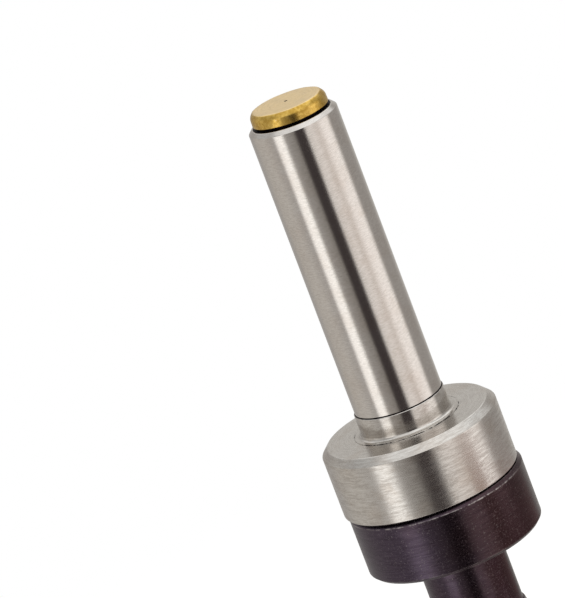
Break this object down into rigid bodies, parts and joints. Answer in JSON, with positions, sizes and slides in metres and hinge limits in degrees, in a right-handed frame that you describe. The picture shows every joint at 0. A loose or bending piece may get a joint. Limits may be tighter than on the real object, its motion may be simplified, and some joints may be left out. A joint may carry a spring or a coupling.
{
  "type": "edge finder",
  "caption": "Off-centre mechanical edge finder: a ground contact sleeve held by an internal spring on a lapped flange, over a cylindrical shank for a collet.",
  "frame": {"origin": "centre of the shank's end face, on the shank's axis", "axes": "+Z along the tool from the shank's end to the brass button; the contact end rests a little to the -X side"},
  "size_m": [0.0204, 0.02, 0.0905],
  "materials": {
    "black_oxide_steel": "blackened, ground bare on the tail",
    "plain_steel": "turned",
    "pin_steel": "ground",
    "spring_steel": "drawn wire",
    "turned_steel": "turned, hardened",
    "ground_steel": "cylindrically ground",
    "brass": "turned, worn"
  },
  "bodies": {
    "shank": {"shank_body": "black_oxide_steel", "anchor_plug": "plain_steel", "anchor_pin": "pin_steel"},
    "spring": {"tension_spring": "spring_steel"},
    "button": {"brass_button": "brass", "button_pin": "pin_steel"},
    "head": {"contact_head": "turned_steel", "measuring_sleeve": "ground_steel"}
  },
  "joints": [
    {"name": "head_slide_x", "type": "slide", "parent": "shank", "child": "spring", "axis": [1, 0, 0], "range_m": [-0.00045, 0.00115]},
    {"name": "head_slide_y", "type": "slide", "parent": "spring", "child": "button", "axis": [0, 1, 0], "range_m": [-0.0008, 0.0008]},
    {"name": "head_spin", "type": "hinge", "parent": "button", "child": "head", "pos_m": [-0.00035, 0, 0.05512], "axis": [0, 0, 1], "continuous": true}
  ]
}
